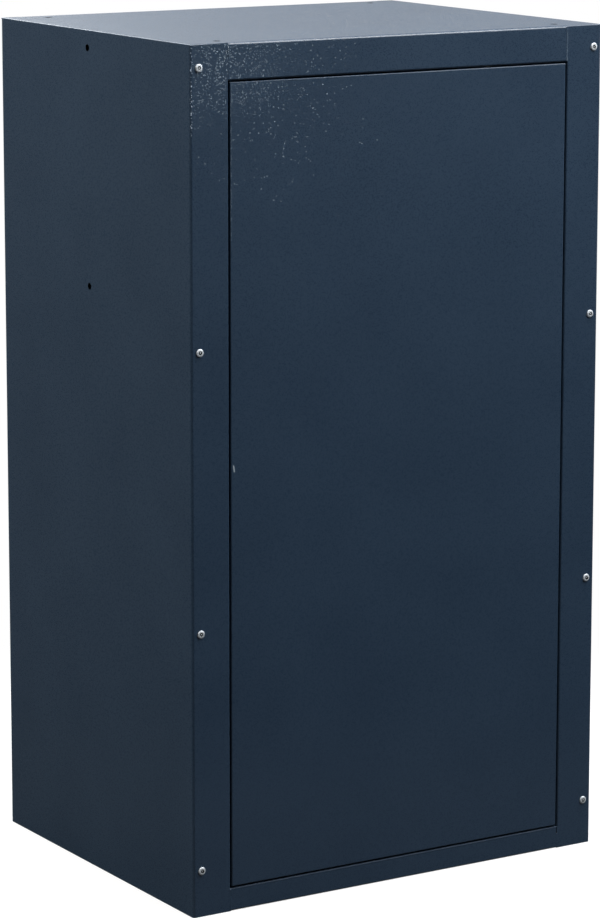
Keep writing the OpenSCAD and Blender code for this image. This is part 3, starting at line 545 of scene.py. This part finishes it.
def coil_spring():
    """Compression spring behind the plunger, wound of drawn wire. Its end coils lie close, on their seats.

    It is drawn at the CAD part's length and rides on the cabinet.
    """
    low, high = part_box("latch_spring")
    wire = SPRING_WIRE
    close_rise = 2.1 * wire
    coil = (high[0] - low[0]) / 2 - wire
    centre = Vector(((low[0] + high[0]) / 2, low[1], (low[2] + high[2]) / 2))
    length = high[1] - low[1]
    open_turns = SPRING_TURNS - 2 * SPRING_CLOSED_TURNS
    open_rise = (length - 2 * wire - 2 * SPRING_CLOSED_TURNS * close_rise) / open_turns
    steps = SPRING_STEPS * SPRING_TURNS
    mesh = bmesh.new()
    rings = []
    for i in range(steps + 1):
        turn = SPRING_TURNS * i / steps
        in_open = min(max(turn - SPRING_CLOSED_TURNS, 0), open_turns)
        y = wire + close_rise * (turn - in_open) + open_rise * in_open
        angle = 2 * math.pi * turn
        out = Vector((math.cos(angle), 0, math.sin(angle)))
        ring = []
        for k in range(WIRE_SIDES):
            around = 2 * math.pi * k / WIRE_SIDES
            across = out * (coil + wire * math.cos(around))
            ring.append(mesh.verts.new(centre + across + Vector((0, y + wire * math.sin(around), 0))))
        rings.append(ring)
    closed_tube(mesh, rings)
    spring = finished_piece("latch_coil_spring", mesh, "cabinet", "bright_steel", FINISHES["bright_steel"],
                            "latch_spring")
    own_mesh(spring)


coil_spring()


# Studio

def share_of_white(tree, in_reflections):
    """How far a background turns white: fully for the eye and through glass, and by a share in reflections."""
    rays = add_node(tree, "ShaderNodeLightPath").outputs
    seen = add_node(tree, "ShaderNodeMath", {0: rays["Is Camera Ray"], 1: rays["Is Transmission Ray"]},
                    operation="ADD").outputs["Value"]
    return add_node(tree, "ShaderNodeMath", {0: rays["Is Glossy Ray"], 1: in_reflections, 2: seen},
                    operation="MULTIPLY_ADD").outputs["Value"]


def studio_world():
    """White for the eye. Reflections show a pale backdrop behind the cabinet and a dim room in front of it."""
    world = bpy.data.worlds.new("studio")
    scene.world = world
    world.use_nodes = True
    tree = world.node_tree
    tree.nodes.clear()
    towards_backdrop = (0.52, 0.82, 0.24)
    backdrop_white = 0.58
    direction = add_node(tree, "ShaderNodeTexCoord").outputs["Generated"]
    facing = add_node(tree, "ShaderNodeVectorMath", {0: direction, 1: towards_backdrop},
                      operation="DOT_PRODUCT").outputs["Value"]
    backdrop = add_node(tree, "ShaderNodeMapRange", {"Value": facing, "From Min": 0.4, "From Max": 0.9,
                                                     "To Max": backdrop_white},
                        interpolation_type="SMOOTHSTEP").outputs["Result"]
    room = add_node(tree, "ShaderNodeBackground", {"Color": srgb("3b3e43")}).outputs[0]
    white = add_node(tree, "ShaderNodeBackground", {"Color": grey(1.0)}).outputs[0]
    both = add_node(tree, "ShaderNodeMixShader", {0: share_of_white(tree, backdrop), 1: room, 2: white})
    add_node(tree, "ShaderNodeOutputWorld", {"Surface": both.outputs[0]})


def studio_floor():
    """Round pale floor, white to the eye, that keeps a soft shadow under the cabinet and fades at its rim."""
    radius = 0.95
    fade_from = 0.45
    below_feet = 0.5 * MM
    mesh = bmesh.new()
    bmesh.ops.create_circle(mesh, cap_ends=True, segments=96, radius=radius)
    data = bpy.data.meshes.new("studio_floor")
    mesh.to_mesh(data)
    mesh.free()
    floor = bpy.data.objects.new("studio_floor", data)
    floor.location.z = -below_feet
    scene.collection.objects.link(floor)
    material = bpy.data.materials.new("studio_floor")
    material.use_nodes = True
    tree = material.node_tree
    tree.nodes.clear()
    place = add_node(tree, "ShaderNodeTexCoord").outputs["Object"]
    away = add_node(tree, "ShaderNodeVectorMath", {0: place}, operation="LENGTH").outputs["Value"]
    rim = add_node(tree, "ShaderNodeMapRange", {"Value": away, "From Min": fade_from, "From Max": radius},
                   interpolation_type="SMOOTHSTEP").outputs["Result"]
    unseen = add_node(tree, "ShaderNodeBsdfDiffuse", {"Color": grey(0.05)}).outputs[0]
    plain = add_node(tree, "ShaderNodeBsdfDiffuse", {"Color": grey(0.3)}).outputs[0]
    glow = add_node(tree, "ShaderNodeEmission", {"Color": grey(0.75)}).outputs[0]
    lit = add_node(tree, "ShaderNodeAddShader", {0: plain, 1: glow}).outputs[0]
    look = add_node(tree, "ShaderNodeMixShader", {0: share_of_white(tree, 0.02), 1: unseen, 2: lit}).outputs[0]
    clear = add_node(tree, "ShaderNodeBsdfTransparent").outputs[0]
    faded = add_node(tree, "ShaderNodeMixShader", {0: rim, 1: look, 2: clear}).outputs[0]
    add_node(tree, "ShaderNodeOutputMaterial", {"Surface": faded})
    data.materials.append(material)


def lamp(name, at, aim, size, watts, **settings):
    """Lamp that lights the cabinet but isn't seen itself."""
    light = bpy.data.lights.new(name, "AREA")
    light.size = size
    light.energy = watts
    for setting, value in settings.items():
        setattr(light, setting, value)
    holder = bpy.data.objects.new(name, light)
    holder.location = at
    holder.rotation_euler = (Vector(aim) - Vector(at)).to_track_quat("-Z", "Y").to_euler()
    holder.visible_camera = False
    scene.collection.objects.link(holder)


studio_world()
studio_floor()
lamp("high_softbox", (0.8, -0.95, 2.75), (0, 0, 0.55), 1.7, 89)
lamp("top_softbox", (0, 0, 3.2), (0, 0, 0.9), 1.2, 34)
lamp("right_softbox", (2.4, -1.9, 3.0), (0, 0, 0.5), 1.9, 101)
lamp("left_softbox", (-2.4, 0.4, 2.5), (0, 0, 0.45), 1.8, 94, color=(1.0, 0.96, 0.9))
lamp("rear_softbox", (0, 1.75, 1.95), (0, 0, 0.6), 1.1, 34, color=(0.92, 0.96, 1.0))
lamp("flash", (1.014, -2.255, 0.663), (-0.2, -0.2, 0.85), 0.12, 0.4, shape="DISK", color=(0.75, 0.9, 1.0))


# Camera, placed by a fit to the box's corners in the photograph

CAMERA_AT = Vector((-2.0772, -3.33993, 1.20668))
CAMERA_AIM = Vector((0.02297, -0.00796, 0.50865))
CAMERA_ROLL = math.radians(0.103)
view = bpy.data.cameras.new("camera")
view.lens = 143.9
view.sensor_width = 36
view.shift_x = -0.0218
view.shift_y = -0.0861
camera = bpy.data.objects.new("camera", view)
camera.location = CAMERA_AT
turn = (CAMERA_AIM - CAMERA_AT).to_track_quat("-Z", "Y") @ Quaternion((0, 0, 1), CAMERA_ROLL)
camera.rotation_euler = turn.to_euler()
scene.collection.objects.link(camera)
scene.camera = camera
